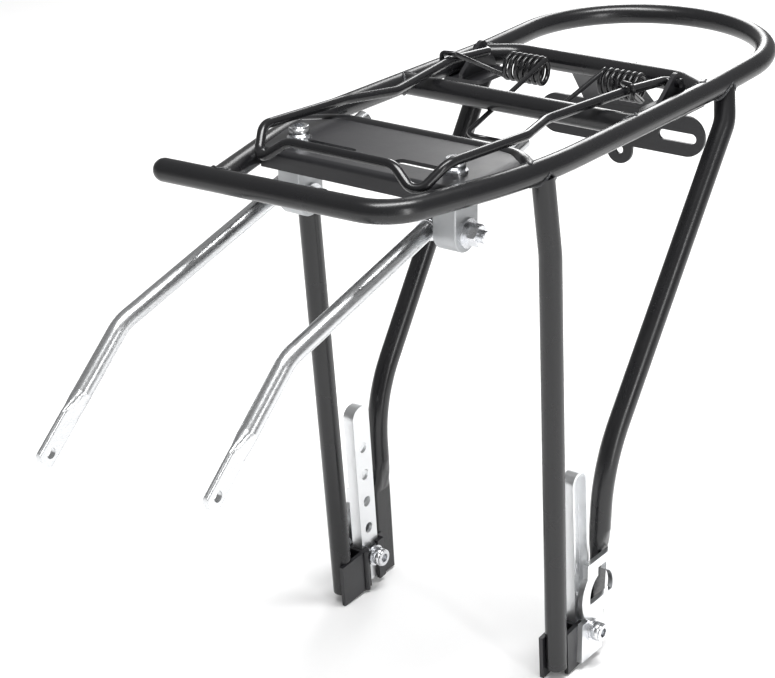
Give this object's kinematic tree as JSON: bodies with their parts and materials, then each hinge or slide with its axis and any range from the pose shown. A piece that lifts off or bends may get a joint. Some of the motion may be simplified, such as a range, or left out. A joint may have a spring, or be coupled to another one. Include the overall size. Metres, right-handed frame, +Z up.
{
  "type": "bicycle rear rack",
  "caption": "Bent-tube rear rack with a sprung wire bail, a slotted plate with two clamps for its stay rods, sliding foot bars and a reflector bracket.",
  "frame": {"origin": "midway between the top eyes of the two foot bars, on the line of the dropout screws", "axes": "+X towards the front of the bicycle, +Y to its left, +Z up"},
  "size_m": [0.521, 0.1804, 0.3158],
  "materials": {
    "black_coat": "semi-gloss black powder coat",
    "spring_wire": "glossy black coated spring wire",
    "zinc_hardware": "bright zinc plating",
    "cast_block": "matt cast grey",
    "bright_aluminium": "bright brushed aluminium"
  },
  "bodies": {
    "frame": {"deck_hoop": "black_coat", "front_cross_tube": "black_coat", "middle_cross_tube": "black_coat", "rear_cross_tube": "black_coat", "front_plate": "black_coat", "reflector_bracket": "black_coat", "left_front_leg": "black_coat", "left_rear_leg": "black_coat", "left_pivot_tab": "black_coat", "left_front_guide": "black_coat", "left_rear_guide": "black_coat", "right_front_leg": "black_coat", "right_rear_leg": "black_coat", "right_pivot_tab": "black_coat", "right_front_guide": "black_coat", "right_rear_guide": "black_coat", "torsion_spring": "spring_wire"},
    "left_slider": {"left_clamp_screw": "zinc_hardware", "left_clamp_washer": "zinc_hardware"},
    "left_clamp": {"left_clamp_block": "cast_block"},
    "left_eye": {"left_eye_bolt": "zinc_hardware", "left_eye_washer": "zinc_hardware", "left_spring_washer": "zinc_hardware", "left_eye_nut": "zinc_hardware"},
    "left_stay": {"left_stay_rod": "bright_aluminium"},
    "left_foot": {"left_foot_bar": "bright_aluminium", "left_cord_hook": "bright_aluminium", "left_foot_screw": "zinc_hardware", "left_head_washer": "zinc_hardware", "left_nut_washer": "zinc_hardware", "left_foot_nut": "zinc_hardware"},
    "right_slider": {"right_clamp_screw": "zinc_hardware", "right_clamp_washer": "zinc_hardware"},
    "right_clamp": {"right_clamp_block": "cast_block"},
    "right_eye": {"right_eye_bolt": "zinc_hardware", "right_eye_washer": "zinc_hardware", "right_spring_washer": "zinc_hardware", "right_eye_nut": "zinc_hardware"},
    "right_stay": {"right_stay_rod": "bright_aluminium"},
    "right_foot": {"right_foot_bar": "bright_aluminium", "right_cord_hook": "bright_aluminium", "right_foot_screw": "zinc_hardware", "right_head_washer": "zinc_hardware", "right_nut_washer": "zinc_hardware", "right_foot_nut": "zinc_hardware"},
    "bail": {"clamp_bail": "spring_wire"}
  },
  "joints": [
    {"name": "left_clamp_slide", "type": "slide", "parent": "frame", "child": "left_slider", "axis": [0, -1, 0], "range_m": [0, 0.024]},
    {"name": "left_clamp_swivel", "type": "hinge", "parent": "left_slider", "child": "left_clamp", "pos_m": [0.07778, 0.0475, 0.2093], "axis": [0, 0, 1], "range_deg": [-12, 12]},
    {"name": "left_eye_swing", "type": "hinge", "parent": "left_clamp", "child": "left_eye", "pos_m": [0.07778, 0.03385, 0.18], "axis": [0, -1, 0], "range_deg": [-0.4, 12]},
    {"name": "left_stay_slide", "type": "slide", "parent": "left_eye", "child": "left_stay", "axis": [0.9659, 0, -0.2588], "range_m": [-0.03, 0.06]},
    {"name": "left_foot_slide", "type": "slide", "parent": "frame", "child": "left_foot", "axis": [-0.0795, 0, -0.9968], "range_m": [0, 0.012]},
    {"name": "right_clamp_slide", "type": "slide", "parent": "frame", "child": "right_slider", "axis": [0, 1, 0], "range_m": [0, 0.024]},
    {"name": "right_clamp_swivel", "type": "hinge", "parent": "right_slider", "child": "right_clamp", "pos_m": [0.07778, -0.0475, 0.2093], "axis": [0, 0, 1], "range_deg": [-12, 1.5]},
    {"name": "right_eye_swing", "type": "hinge", "parent": "right_clamp", "child": "right_eye", "pos_m": [0.07778, -0.06115, 0.18], "axis": [0, -1, 0], "range_deg": [-0.4, 12]},
    {"name": "right_stay_slide", "type": "slide", "parent": "right_eye", "child": "right_stay", "axis": [0.9659, 0, -0.2588], "range_m": [-0.03, 0.06]},
    {"name": "right_foot_slide", "type": "slide", "parent": "frame", "child": "right_foot", "axis": [-0.0795, 0, -0.9968], "range_m": [0, 0.012]},
    {"name": "bail_hinge", "type": "hinge", "parent": "frame", "child": "bail", "pos_m": [-0.11092, 0, 0.212], "axis": [0, -1, 0], "range_deg": [0, 95], "stiffness_Nm_per_rad": 0.9, "springref_deg": -28.65, "deforming": ["torsion_spring"]}
  ]
}
